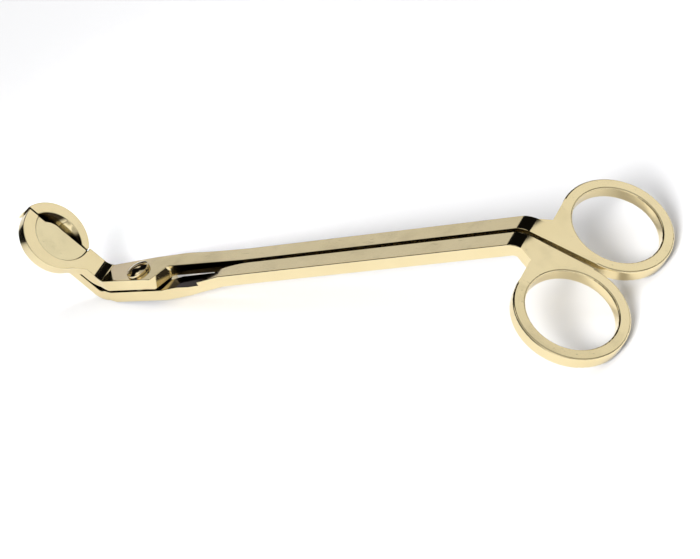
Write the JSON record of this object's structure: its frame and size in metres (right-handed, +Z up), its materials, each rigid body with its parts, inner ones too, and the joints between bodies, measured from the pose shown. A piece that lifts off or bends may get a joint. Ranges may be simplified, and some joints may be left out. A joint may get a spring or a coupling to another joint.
{
  "type": "wick trimmer",
  "caption": "Long-handled candle wick trimmer: crossed plated levers on a pivot screw, with finger rings, a round catch tray and a crescent blade.",
  "frame": {"origin": "on the table under the middle of the closed trimmer's length and width", "axes": "+X along the length towards the finger rings, +Y towards the tray lever's ring, +Z up from the table that the trimmer rests on"},
  "size_m": [0.1812, 0.058, 0.03],
  "materials": {
    "plated_lever": "polished pale gold plating",
    "plated_tray": "satin pale gold plating",
    "plated_screw": "polished pale gold plating"
  },
  "bodies": {
    "tray_side": {"tray_lever": "plated_lever", "catch_tray": "plated_tray", "pivot_washer": "plated_screw"},
    "blade_side": {"blade_lever": "plated_lever", "pivot_screw": "plated_screw", "pivot_nut": "plated_screw"}
  },
  "joints": [
    {"name": "pivot", "type": "hinge", "parent": "tray_side", "child": "blade_side", "pos_m": [-0.05721, -0.0004, 0.00804], "axis": [0.1186, 0, -0.9929], "range_deg": [0, 40]}
  ]
}
